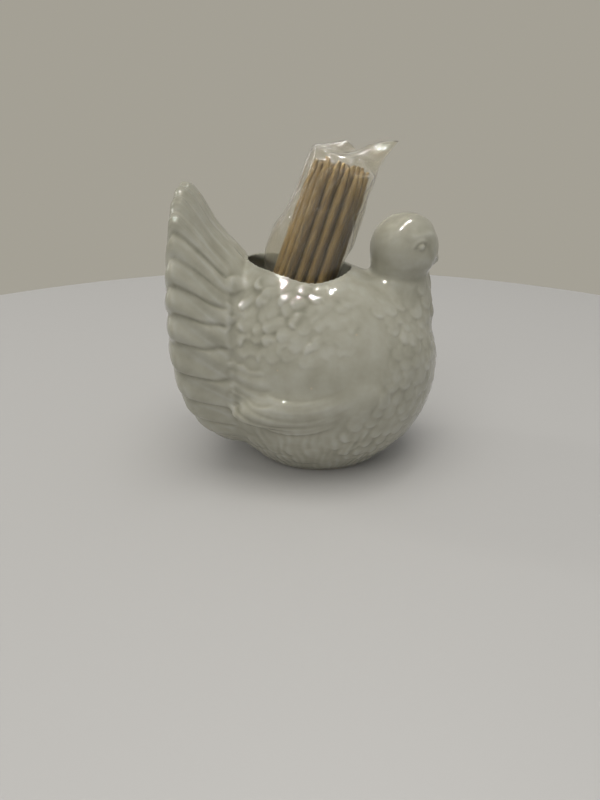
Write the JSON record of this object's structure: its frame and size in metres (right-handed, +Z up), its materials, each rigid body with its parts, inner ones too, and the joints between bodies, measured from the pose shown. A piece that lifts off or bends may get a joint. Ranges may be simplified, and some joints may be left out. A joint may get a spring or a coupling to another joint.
{
  "type": "toothpick holder",
  "caption": "Glazed ceramic turkey with a round mouth in its back and a hollow body, holding a clear film bag of wooden toothpicks that lifts out.",
  "frame": {"origin": "on the ground, a point of the flat foot's face under the middle of the round mouth", "axes": "+Z up, +X towards the beak, +Y to the bird's left"},
  "size_m": [0.0633, 0.0478, 0.0747],
  "materials": {
    "glaze": "warm white gloss glaze over moulded feather relief",
    "film": "clear thin film, creased",
    "birch": "bare birch, fine long grain"
  },
  "bodies": {
    "holder": {"holder_body": "glaze"},
    "bag": {"pick_bag": "film", "toothpick_01": "birch", "toothpick_02": "birch", "toothpick_03": "birch", "toothpick_04": "birch", "toothpick_05": "birch", "toothpick_06": "birch", "toothpick_07": "birch", "toothpick_08": "birch", "toothpick_09": "birch", "toothpick_10": "birch", "toothpick_11": "birch", "toothpick_12": "birch", "toothpick_13": "birch", "toothpick_14": "birch", "toothpick_15": "birch", "toothpick_16": "birch", "toothpick_17": "birch", "toothpick_18": "birch", "toothpick_19": "birch", "toothpick_20": "birch", "toothpick_21": "birch", "toothpick_22": "birch", "toothpick_23": "birch", "toothpick_24": "birch"}
  },
  "joints": [
    {"name": "bag_lift", "type": "slide", "parent": "holder", "child": "bag", "axis": [0.3173, 0, 0.9483], "range_m": [0, 0.06]}
  ]
}
